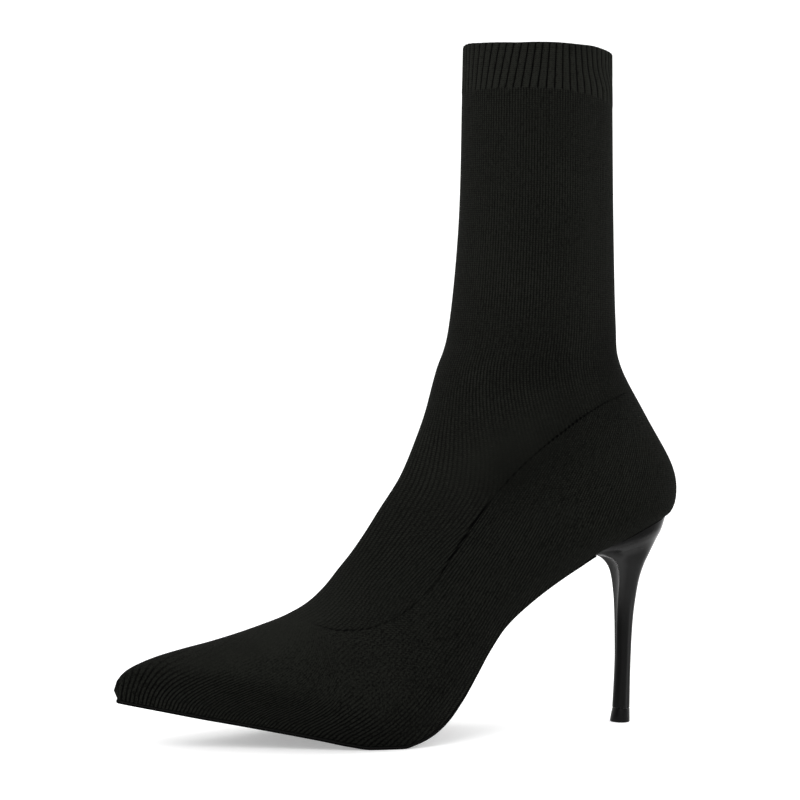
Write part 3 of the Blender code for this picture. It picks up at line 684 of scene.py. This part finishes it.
class Finish:
    """A material's node tree with short ways to add maths and links."""

    def __init__(self, name):
        self.material = bpy.data.materials.new(name)
        self.material.use_nodes = True
        self.tree = self.material.node_tree
        self.shader = self.tree.nodes["Principled BSDF"]

    def node(self, kind, **settings):
        made = self.tree.nodes.new(kind)
        for key, value in settings.items():
            setattr(made, key, value)
        return made

    def put(self, value, socket):
        if isinstance(value, (int, float, tuple)):
            socket.default_value = value
        else:
            self.tree.links.new(value, socket)

    def maths(self, operation, *values, clamp=False):
        """One sum, product or other operation on numbers or sockets."""
        made = self.node("ShaderNodeMath", operation=operation, use_clamp=clamp)
        for value, socket in zip(values, made.inputs):
            self.put(value, socket)
        return made.outputs[0]

    def scaled(self, value, by, plus=0.0, clamp=False):
        """A number times one number, plus another."""
        return self.maths("MULTIPLY_ADD", value, by, plus, clamp=clamp)

    def product(self, first, *others):
        """All the numbers multiplied together."""
        for value in others:
            first = self.maths("MULTIPLY", first, value)
        return first

    def wave(self, turns):
        """0 at every whole number of turns, rising evenly to 1 half way between them."""
        return self.scaled(self.maths("PINGPONG", turns, 0.5), 2.0)

    def stored(self, name):
        """A value kept on the mesh's points."""
        return self.node("ShaderNodeAttribute", attribute_name=name).outputs["Fac"]

    def speckle(self, scale, detail=2.0):
        """Noise with about scale grains to the metre."""
        place = self.node("ShaderNodeTexCoord").outputs["Object"]
        made = self.node("ShaderNodeTexNoise")
        made.inputs["Scale"].default_value = scale
        made.inputs["Detail"].default_value = detail
        self.tree.links.new(place, made.inputs["Vector"])
        return made.outputs["Fac"]

    def between(self, share, low, high):
        """A colour or number part of the way from low to high."""
        made = self.node("ShaderNodeMix", data_type="RGBA")
        self.put(share, made.inputs["Factor"])
        self.put(low, made.inputs["A"])
        self.put(high, made.inputs["B"])
        return made.outputs["Result"]

    def relief(self, height, distance):
        """Bumps that stand distance high where height is 1."""
        made = self.node("ShaderNodeBump")
        made.inputs["Strength"].default_value = 1.0
        made.inputs["Distance"].default_value = distance
        self.put(height, made.inputs["Height"])
        return made.outputs["Normal"]


knit = Finish("black_knit")
# Fuzz of the yarn, the strands' slight wandering, and patches where the tension changes
yarn = knit.speckle(1400.0, detail=1.0)
wander = knit.speckle(420.0, detail=1.0)
patches = knit.speckle(45.0)

# Lines of stitches, the shaft's above the welt and the foot part's below. Each has a strand in its
# middle and a groove between it and the next, deeper where the lines lie open.
wander_share, line_sharpness = 0.10, 2.1
on_shaft = knit.scaled(knit.stored("from_welt"), 2.5, 0.5, clamp=True)
wale = knit.maths(
    "ADD",
    knit.product(knit.stored("leg_wale"), on_shaft),
    knit.product(knit.stored("foot_wale"), knit.maths("SUBTRACT", 1.0, on_shaft)),
)
strand = knit.wave(knit.maths("ADD", wale, knit.product(wander, wander_share)))
tension = knit.scaled(patches, 1.4, 0.2, clamp=True)
groove = knit.product(
    knit.maths("POWER", knit.maths("SUBTRACT", 1.0, strand), line_sharpness),
    knit.product(knit.stored("open_lines"), tension),
)

# Loops along each line, each a little slanted across its strand
loops_per_mm, loop_slant = 1.15, 0.45
loop_turns = knit.maths(
    "ADD", knit.product(knit.stored("course"), loops_per_mm), knit.product(strand, loop_slant))
loops = knit.maths("PINGPONG", loop_turns, 0.5)

# The cuff's ribs have a sharp dark line between them, and hardly any other lines
rib_sharpness, other_lines_lost = 4.5, 0.8
on_rib = knit.scaled(knit.stored("below_cuff"), -1.4, 0.5, clamp=True)
rib_line = knit.product(
    knit.maths("POWER", knit.maths("SUBTRACT", 1.0, knit.wave(knit.stored("rib"))), rib_sharpness),
    on_rib,
)
groove = knit.product(groove, knit.scaled(on_rib, -other_lines_lost, 1.0))

# The welt's stitching is a dark line that widens between its stitches, most where it pulls
stitches_per_wale = 0.72
welt_near = knit.maths("ABSOLUTE", knit.maths("ADD", knit.stored("from_welt"),
                                              knit.scaled(wander, 0.25, -0.12)))
pucker = knit.maths("PINGPONG", knit.product(knit.stored("leg_wale"), stitches_per_wale), 0.5)
welt_width = knit.product(knit.scaled(pucker, 0.9, 0.22), knit.scaled(knit.stored("pull"), 0.8, 0.7))
welt_dark = knit.product(
    knit.maths("SUBTRACT", 1.0, knit.maths("DIVIDE", welt_near, welt_width), clamp=True),
    knit.product(knit.stored("pull"), knit.scaled(pucker, 3.0, 0.25)),
)

# How light each point is: what isn't groove, rib line or welt, times the swing of yarn and loops
# about 1, the patches, the painted light and shade, and the cuff's lighter tone
groove_dark, rib_dark = 1.25, 1.25
yarn_contrast, loop_contrast = 2.4, 2.4
shaft_light, cuff_lighter = 0.67, 0.33
dark = knit.maths("ADD", knit.product(groove, groove_dark), knit.product(rib_line, rib_dark))
dark = knit.maths("ADD", dark, welt_dark, clamp=True)
yarn_swing = knit.scaled(yarn, yarn_contrast, -0.5 * yarn_contrast)
loop_swing = knit.scaled(loops, loop_contrast, -0.25 * loop_contrast)
light = knit.product(
    knit.maths("SUBTRACT", 1.0, dark),
    knit.scaled(yarn_swing, knit.stored("grain"), 1.0),
    knit.scaled(loop_swing, knit.stored("grain"), 1.0),
    knit.scaled(patches, 0.7, 0.65),
    knit.stored("painted_light_and_shade"),
    knit.scaled(on_rib, cuff_lighter, shaft_light),
)
groove_black, yarn_black = (0.0002, 0.0002, 0.0002, 1.0), (0.0117, 0.0123, 0.0103, 1.0)
knit.put(knit.between(light, groove_black, yarn_black), knit.shader.inputs["Base Color"])

# Loops and fuzz stand up, and the lines lie deeper
stitch_relief = 0.22 * mm
stitch_height = knit.maths("ADD", knit.product(loops, 0.35), knit.product(yarn, 0.6))
for depth, line in ((1.2, groove), (2.0, rib_line), (1.5, welt_dark)):
    stitch_height = knit.maths("SUBTRACT", stitch_height, knit.product(line, depth))
knit.put(knit.relief(stitch_height, stitch_relief), knit.shader.inputs["Normal"])
knit.shader.inputs["Roughness"].default_value = 0.92
knit.shader.inputs["Specular IOR Level"].default_value = 0.02
sock.data.materials.append(knit.material)
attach(sock, "root")
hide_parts("upper")


# Insole. A shaped board with a steel shank under it, covered with smooth black sock lining, on
# which the upper is lasted. It shows only through the collar.

insole_low, insole_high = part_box("insole")
insole_thick = 1.5 * mm
insole_round = 0.4 * mm
piece_gap = 0.3 * mm
insole_inset = 2.2 * mm
insole_short_back, insole_short_front = 1.5 * mm, 1.0 * mm
insole_rows = 120


def board_rows(from_x, to_x, count, samples=900):
    """Sections whose undersides stand at evenly spaced x, read off between finely cut sections."""
    fine = sections_at(np.linspace(first_foot_section, len(key_sections) - 1, samples))
    x = np.linspace(from_x, to_x, count)
    return np.stack([np.interp(x, fine[:, back_x], column) for column in fine.T], axis=1)


def board(rows, outer_edge, inner_edge, profile, most_inset=0.45):
    """A board along the sole line as closed rings. The profile gives, for points round its cross
    section, the share of the half width, an inset from the edge, and the depth out of the sole
    line, measured square to the line. Where the board is narrow the inset is at most a share of
    its half width."""
    dx, dz = np.gradient(rows[:, back_x]), np.gradient(rows[:, back_z])
    run = np.hypot(dx, dz)
    share, inset, depth = np.array(profile).T
    reach = np.where(share[None] > 0, outer_edge[:, None], inner_edge[:, None])
    across = share[None] * reach - np.sign(share)[None] * np.minimum(inset[None], most_inset * reach)
    return np.stack([
        rows[:, back_x, None] + (dz / run)[:, None] * depth[None],
        across,
        rows[:, back_z, None] - (dx / run)[:, None] * depth[None],
    ], axis=2)


def outside_out(made):
    """Turns a closed piece's faces outward if its volume comes out negative: six times the volume
    is the sum over its triangles of one corner dotted with the cross product of the other two."""
    corners = np.empty(len(made.data.vertices) * 3, dtype=np.float32)
    made.data.vertices.foreach_get("co", corners)
    made.data.calc_loop_triangles()
    triangles = np.empty(len(made.data.loop_triangles) * 3, dtype=np.int32)
    made.data.loop_triangles.foreach_get("vertices", triangles)
    a, b, c = corners.reshape(-1, 3)[triangles.reshape(-1, 3)].transpose(1, 0, 2)
    if np.einsum("ij,ij->i", a, np.cross(b, c)).sum() < 0:
        made.data.flip_normals()


insole_sections = board_rows(
    insole_low.x + insole_short_back, insole_high.x - insole_short_front, insole_rows)
insole_under = -(knit_wall + piece_gap)
insole_top = insole_under - insole_thick
insole_rings = board(
    insole_sections,
    insole_sections[:, outer] * insole_sections[:, floor] - insole_inset,
    insole_sections[:, inner] * insole_sections[:, floor] - insole_inset,
    (
        (1.0, insole_round, insole_top), (1.0, 0.0, insole_top + insole_round),
        (1.0, 0.0, insole_under), (-1.0, 0.0, insole_under),
        (-1.0, 0.0, insole_top + insole_round), (-1.0, insole_round, insole_top),
    ),
)
insole = piece("insole_board", *closed_rings(insole_rings))
outside_out(insole)
insole.data.set_sharp_from_angle(angle=math.radians(40))
lining = Finish("black_sock_lining")
lining_dark, lining_light = (0.010, 0.010, 0.009, 1.0), (0.026, 0.025, 0.023, 1.0)
lining_grain = 0.06 * mm
lining.put(lining.between(lining.speckle(900.0), lining_dark, lining_light),
           lining.shader.inputs["Base Color"])
lining.put(lining.relief(lining.speckle(2200.0), lining_grain), lining.shader.inputs["Normal"])
lining.shader.inputs["Roughness"].default_value = 0.62
insole.data.materials.append(lining.material)
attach(insole, "root")
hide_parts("insole")


# Outsole. A thin sheet of moulded black rubber cut to the lasted foot, cemented under it from
# the heel's breast to the toe, with its lower corner rounded and a painted highlight along its edge.

outsole_low, outsole_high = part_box("outsole")
outsole_thick = 2.0 * mm
outsole_round = 0.8 * mm
outsole_short_back, outsole_rows = 1.2 * mm, 260
# Half width as a share of the knit's flat underneath
outsole_plan = np.array((
    # along, outer_share, inner_share
    (0.170, 0.800, 0.800),
    (0.300, 0.840, 0.820),
    (0.400, 0.920, 0.900),
    (0.470, 0.985, 0.975),
    (0.600, 1.005, 1.005),
    (1.000, 1.015, 1.015),
))
outsole_sections = board_rows(outsole_low.x + outsole_short_back, outsole_high.x, outsole_rows)
outsole_along = (outsole_sections[:, back_x] - heel_bulge_x) / foot_length
outsole_outer, outsole_inner = (
    outsole_sections[:, side] * outsole_sections[:, floor]
    * through_points(outsole_along, outsole_plan[:, 0], outsole_plan[:, share])
    for side, share in ((outer, 1), (inner, 2))
)
lower = piece_gap + outsole_thick
edge_top = piece_gap + 1.0 * mm  # where the edge's upper slope ends
edge_slope = 1.4 * mm  # how far that slope leans in
# One side of the sheet from its upper corner to half way under it, and whether that point has
# the painted highlight along the edge. The other side is its mirror image.
half_profile = (
    # share, inset, depth, painted highlight
    (1.0, edge_slope, piece_gap, 0),
    (1.0, 0.1 * mm, edge_top, 1),
    (1.0, 0.0, edge_top + 0.15 * mm, 1),
    (1.0, 0.0, edge_top + 0.3 * mm, 0),
    (1.0, 0.2 * mm, lower - 0.4 * outsole_round, 0),
    (1.0, outsole_round, lower, 0),
    (0.5, 0.0, lower, 0),
)
outsole_profile = half_profile + tuple((-share, *rest) for share, *rest in reversed(half_profile))
outsole = piece("outsole_sheet", *closed_rings(board(
    outsole_sections, outsole_outer, outsole_inner, [point[:3] for point in outsole_profile])))
on_points(outsole, "painted_edge_highlight", [point[3] for point in outsole_profile] * len(outsole_sections) + [0, 0])
outside_out(outsole)
outsole.data.set_sharp_from_angle(angle=math.radians(50))
sole_rubber = Finish("black_outsole")
sole_dark, sole_light = (0.0010, 0.0010, 0.0010, 1.0), (0.0026, 0.0026, 0.0025, 1.0)
# Painted highlight: a lighter colour along the top of the outsole's edge
edge_highlight_tone = (0.008, 0.008, 0.0075, 1.0)
sole_grain = 0.05 * mm
sole_black = sole_rubber.between(sole_rubber.speckle(260.0), sole_dark, sole_light)
sole_rubber.put(sole_rubber.between(sole_rubber.stored("painted_edge_highlight"), sole_black, edge_highlight_tone),
                sole_rubber.shader.inputs["Base Color"])
sole_rubber.put(sole_rubber.relief(sole_rubber.speckle(1800.0), sole_grain),
                sole_rubber.shader.inputs["Normal"])
sole_rubber.shader.inputs["Roughness"].default_value = 0.55
sole_rubber.shader.inputs["Specular IOR Level"].default_value = 0.0
outsole.data.materials.append(sole_rubber.material)
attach(outsole, "root")
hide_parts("outsole")


# Heel. A slim moulded block, lacquered gloss black, screwed up into the seat. Its breast is
# hollow where it spreads under the seat and runs out flat down the stem.

tip_height = 5.8 * mm
tip_setback = -heel_bulge_x
breast_reach = 40.2 * mm - tip_setback
stem_foot = tip_height + piece_gap
block_rise = sole_height(breast_reach) - stem_foot
seat_width = 42.0 * mm
# Levels of the block from the stem's foot up, tilted more and more with the seat: shares of its
# rise at the breast and at the back, of the way from the top piece to the breast corner, of the
# setback behind it, and of seat_width
heel_levels = np.array((
    # front_up, back_up, front, back, width, face, hollow
    (0.000, 0.000, 0.176, -0.186, 0.205, 0.03, 0.00),
    (0.175, 0.175, 0.137, -0.194, 0.205, 0.03, 0.00),
    (0.365, 0.370, 0.108, -0.212, 0.212, 0.05, 0.00),
    (0.545, 0.560, 0.108, -0.249, 0.228, 0.07, 0.04),
    (0.672, 0.700, 0.108, -0.304, 0.258, 0.11, 0.08),
    (0.770, 0.815, 0.112, -0.370, 0.305, 0.18, 0.12),
    (0.848, 0.910, 0.140, -0.467, 0.375, 0.25, 0.15),
    (0.893, 0.970, 0.200, -0.552, 0.445, 0.31, 0.18),
    (0.934, 1.030, 0.340, -0.634, 0.550, 0.40, 0.20),
    (0.960, 1.075, 0.640, -0.694, 0.690, 0.54, 0.22),
    (0.985, 1.120, 1.010, -0.756, 0.860, 0.76, 0.22),
    (1.015, 1.165, 1.109, -0.792, 0.960, 0.86, 0.20),
    (1.060, 1.230, 1.248, -0.852, 1.000, 0.88, 0.18),
    (1.140, 1.310, 1.432, -0.900, 1.030, 0.88, 0.15),
    (1.260, 1.380, 1.600, -0.920, 1.060, 0.88, 0.15),
))
heel_widest = 0.50
shoulder_from = math.radians(25.0)
breast_points, shoulder_points, side_points = 14, 14, 40


def heel_surface(place):
    """Points round the block at fractional places in the table of levels, for one ring or a stack
    of them: a shallow parabola across the breast, a shoulder on the rest of a quarter wave beyond
    its first degrees, and a quarter wave to the back. Turns are 0 to 1 on the breast, to 2 on the
    shoulder and to 3 on the side. Each level rises evenly from its front to its back."""
    order = np.arange(len(heel_levels), dtype=float)
    level = [through_points(place, order, heel_levels[:, k]) for k in range(7)]
    front_up, back_up, front, back, half, face, hollow = level
    front, back = front * breast_reach, back * tip_setback
    half, face = half * seat_width / 2, face * seat_width / 2
    widest = front - (front - back) * heel_widest
    on_breast = heel_turn < 1
    on_shoulder = (heel_turn >= 1) & (heel_turn < 2)
    y_breast = face * heel_turn
    x_breast = front - hollow * face * (1 - heel_turn**2)
    bend = shoulder_from + np.clip(heel_turn - 1, 0, 1) * (math.pi / 2 - shoulder_from)
    y_shoulder = half - (half - face) * (1 - np.sin(bend)) / (1 - math.sin(shoulder_from))
    x_shoulder = widest + (front - widest) * np.cos(bend) / math.cos(shoulder_from)
    rearward = np.clip(heel_turn - 2, 0, 1) * math.pi / 2
    y_side = half * np.cos(rearward)
    x_side = widest - (widest - back) * np.sin(rearward)
    x = np.where(on_breast, x_breast, np.where(on_shoulder, x_shoulder, x_side))
    y = np.where(on_breast, y_breast, np.where(on_shoulder, y_shoulder, y_side))
    up = front_up + (back_up - front_up) * (front - x) / (front - back)
    return x, y * heel_side, stem_foot + up * block_rise


half_turn = np.concatenate([
    np.linspace(0, 1, breast_points, endpoint=False),
    np.linspace(1, 2, shoulder_points, endpoint=False),
    np.linspace(2, 3, side_points),
])
heel_turn = np.concatenate([half_turn, half_turn[-2:0:-1]])
heel_side = np.concatenate([np.ones(len(half_turn)), -np.ones(len(half_turn) - 2)])
knit_tree = BVHTree.FromPolygons(sock_points.tolist(), sock_faces)


def outside_knit(x, y, z):
    """How far each point lies outside the knit, negative inside it: the distance to the nearest
    face, signed by which side of that face the point is on."""
    gaps = []
    for point in map(Vector, zip(x, y, z)):
        nearest, normal, _, gap = knit_tree.find_nearest(point)
        gaps.append(gap if (point - nearest).dot(normal) > 0 else -gap)
    return np.array(gaps)


# Each column runs up to where it meets the knit, found by halving the stretch that it is on
seat_first_level, seat_last_level, halvings = 6.0, len(heel_levels) - 1.1, 14
seat_low = np.full(len(heel_turn), seat_first_level)
seat_high = np.full(len(heel_turn), seat_last_level)
for _ in range(halvings):
    middle = (seat_low + seat_high) / 2
    clear = outside_knit(*heel_surface(middle)) > piece_gap
    seat_low, seat_high = np.where(clear, middle, seat_low), np.where(clear, seat_high, middle)
# Rings are level with the table up to a little under the seat, then spread out to meet it
level_rows, seat_rows = 110, 30
seat_spread = 0.4
seat_start = seat_low.min() - seat_spread
share_up = np.linspace(0, 1, seat_rows)[1:, None]
heel_places = np.vstack([
    np.repeat(np.linspace(0, seat_start, level_rows)[:, None], len(heel_turn), axis=1),
    seat_start + (seat_low - seat_start) * share_up,
])
heel_rings = np.stack(heel_surface(heel_places), axis=2)
heel = piece("lacquered_heel", *closed_rings(heel_rings))
outside_out(heel)
heel.data.set_sharp_from_angle(angle=math.radians(48))
lacquer = Finish("gloss_black_heel")
# Painted reflection on the lacquer, by row from the stem's foot up to the seat: its black is painted
# lighter up the flare than down the stem
painted_lacquer_reflection = np.array((
    # place, painted light
    (0.0, 0.0066),
    (2.6, 0.0070),
    (3.4, 0.0105),
    (4.2, 0.0155),
    (6.5, 0.0155),
    (8.5, 0.0120),
    (9.5, 0.0085),
))
painted_heel_light = np.interp(heel_places, painted_lacquer_reflection[:, 0], painted_lacquer_reflection[:, 1])
# Painted shade: the flare's sides are painted darker from its shoulder backward
flare_place, flare_fade, flare_turn, flare_painted_shade = 6.0, 2.0, 1.5, 0.75
on_flare = np.clip((heel_places - flare_place) / flare_fade, 0, 1)
painted_heel_light -= flare_painted_shade * painted_heel_light * on_flare * np.clip(heel_turn - flare_turn, 0, 1)
# Painted reflection: the hollow breast and the shoulder beside it are painted lighter, as light from the
# floor would show on them
breast_place, breast_fade, breast_turn, breast_blend, breast_painted_reflection = 3.0, 2.0, 1.55, 0.35, 0.016
near_breast = np.clip((breast_turn - heel_turn) / breast_blend, 0, 1)
painted_heel_light += breast_painted_reflection * near_breast * np.clip((heel_places - breast_place) / breast_fade, 0, 1)
# Painted highlight: a lighter line is painted down the stem where its sides turn to the back
line_turn, line_width, stem_painted_highlight, line_top = 2.14, 0.10, 0.015, 4.4
on_stem = np.clip(line_top - heel_places, 0, 1)
painted_heel_light += stem_painted_highlight * on_stem * np.exp(-(((heel_turn - line_turn) / line_width) ** 2))
on_points(heel, "painted_heel_light", list(painted_heel_light.ravel()) + [painted_heel_light[0, 0], painted_heel_light[-1, 0]])
lacquer_waves = 0.05 * mm
# The lacquer's base colour carries its painted reflection, shade and highlight
lacquer.put(lacquer.stored("painted_heel_light"), lacquer.shader.inputs["Base Color"])
lacquer.shader.inputs["Roughness"].default_value = 0.16
lacquer.shader.inputs["IOR"].default_value = 1.10
lacquer.put(lacquer.relief(lacquer.speckle(60.0), lacquer_waves), lacquer.shader.inputs["Normal"])
heel.data.materials.append(lacquer.material)
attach(heel, "root")
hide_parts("heel")


# Top piece. A small hard wearing pad of black plastic pinned under the stem, standing a little
# ahead of it and flared towards the floor.

tip_flare = 0.5 * mm
tip_lean = 0.5 * mm
tip_round = 0.35 * mm
stem_x, stem_y, _ = heel_surface(np.zeros(len(heel_turn)))
stem_outline = np.stack([stem_x, stem_y], axis=1)
stem_middle = stem_outline.mean(axis=0)
from_middle = stem_outline - stem_middle
tip_out = from_middle / np.linalg.norm(from_middle, axis=1, keepdims=True)
# Heights down the pad with how far each ring stands out and leans forward
tip_levels = (
    # height, out, lean
    (0.0, tip_flare - tip_round, tip_lean),
    (tip_round * 0.35, tip_flare - tip_round * 0.25, tip_lean),
    (tip_round, tip_flare, tip_lean),
    (tip_height * 0.5, tip_flare * 0.55, tip_lean * 0.55),
    (tip_height - tip_round, 0.0, 0.0),
    (tip_height, -tip_round * 0.6, 0.0),
)
tip_rings = np.array([
    np.column_stack([stem_outline + tip_out * out + np.array([lean, 0.0]), np.full(len(stem_x), height)])
    for height, out, lean in tip_levels
])
top_piece = piece("top_piece_pad", *closed_rings(tip_rings))
outside_out(top_piece)
top_piece.data.set_sharp_from_angle(angle=math.radians(40))
hard_pad = Finish("black_top_piece")
pad_grain = 0.04 * mm
hard_pad.shader.inputs["Base Color"].default_value = (0.003, 0.003, 0.003, 1.0)
hard_pad.shader.inputs["Roughness"].default_value = 0.38
hard_pad.shader.inputs["Specular IOR Level"].default_value = 0.08
hard_pad.put(hard_pad.relief(hard_pad.speckle(1500.0), pad_grain), hard_pad.shader.inputs["Normal"])
top_piece.data.materials.append(hard_pad.material)
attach(top_piece, "root")
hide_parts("top_piece")


# Floor and backdrop. A plain pale sheet of paper that lies under the boot, runs past the camera in
# front and curves up far behind, as in a photographer's studio.

sheet_half, sheet_front = 6.0, 5.0
sweep_start, sweep_radius, sweep_top, sweep_steps = 2.2, 1.2, 4.0, 14
sweep = np.linspace(0, math.pi / 2, sweep_steps)
sheet_out = np.concatenate([
    [-sheet_front, 0.0], sweep_start + sweep_radius * np.sin(sweep), [sweep_start + sweep_radius],
])
sheet_up = np.concatenate([[0.0, 0.0], sweep_radius * (1 - np.cos(sweep)), [sweep_top]])
# The sheet's far edge lies square to the camera's line of sight
camera_turn = math.radians(18.0)
sight = np.array([-math.sin(camera_turn), -math.cos(camera_turn)])
aside = np.array([math.cos(camera_turn), -math.sin(camera_turn)])
edges = [
    np.column_stack([sheet_out[:, None] * sight + side * sheet_half * aside, sheet_up])
    for side in (-1, 1)
]
strip = len(sheet_out)
floor_sheet = piece("pale_floor", np.vstack(edges), [
    (i, i + 1, strip + i + 1, strip + i) for i in range(strip - 1)
])
paper = Finish("pale_paper")
paper.shader.inputs["Base Color"].default_value = (0.86, 0.86, 0.86, 1.0)
paper.shader.inputs["Roughness"].default_value = 0.9
paper.shader.inputs["Specular IOR Level"].default_value = 0.1
paper.shader.inputs["Emission Color"].default_value = (1.0, 1.0, 1.0, 1.0)
paper.shader.inputs["Emission Strength"].default_value = 0.35
floor_sheet.data.materials.append(paper.material)


# Light. A bright plain room, one large soft box above and in front of the toe, one behind on each
# side for the edges, as in a product photograph.

def soft_box(name, place, target, width, height, power):
    """An area light of so many watts that faces a point."""
    data = bpy.data.lights.new(name, "AREA")
    data.shape = "RECTANGLE"
    data.size, data.size_y, data.energy = width, height, power
    made = bpy.data.objects.new(name, data)
    made.location = place
    made.rotation_euler = (Vector(target) - Vector(place)).to_track_quat("-Z", "Y").to_euler()
    bpy.context.scene.collection.objects.link(made)


boot_middle = (0.09, 0.0, 0.13)
soft_box("key_box", (0.9, 0.9, 1.3), boot_middle, 0.9, 0.9, 8.0)
soft_box("toe_side_box", (0.95, -0.75, 0.45), boot_middle, 0.8, 1.0, 3.0)
soft_box("heel_side_box", (-1.1, 0.0, 0.6), boot_middle, 0.5, 1.2, 6.0)
room = bpy.data.worlds.new("bright_room")
room.use_nodes = True
room.node_tree.nodes["Background"].inputs["Color"].default_value = (1.0, 1.0, 1.0, 1.0)
room.node_tree.nodes["Background"].inputs["Strength"].default_value = 1.0
bpy.context.scene.world = room
bpy.context.scene.view_settings.view_transform = "Standard"


# Camera. About a metre off on the boot's outer side and level with its ankle, turned 18 degrees
# towards the toe, with a long lens and a slight look downward.

picture_side = 800
focal_pixels = 2325.0
horizon_row = 330.0  # the pixel row of the photograph at the camera's own height
sensor = 36.0
camera_place = (0.3934, 0.9083, 0.1664)
camera_data = bpy.data.cameras.new("camera")
camera_data.sensor_width = sensor
camera_data.lens = sensor * focal_pixels / picture_side
pitch = math.atan((picture_side / 2 - horizon_row) / focal_pixels)
look = Vector((sight[0] * math.cos(pitch), sight[1] * math.cos(pitch), -math.sin(pitch)))
camera = bpy.data.objects.new("camera", camera_data)
camera.location = camera_place
camera.rotation_euler = look.to_track_quat("-Z", "Y").to_euler()
bpy.context.scene.collection.objects.link(camera)
bpy.context.scene.camera = camera
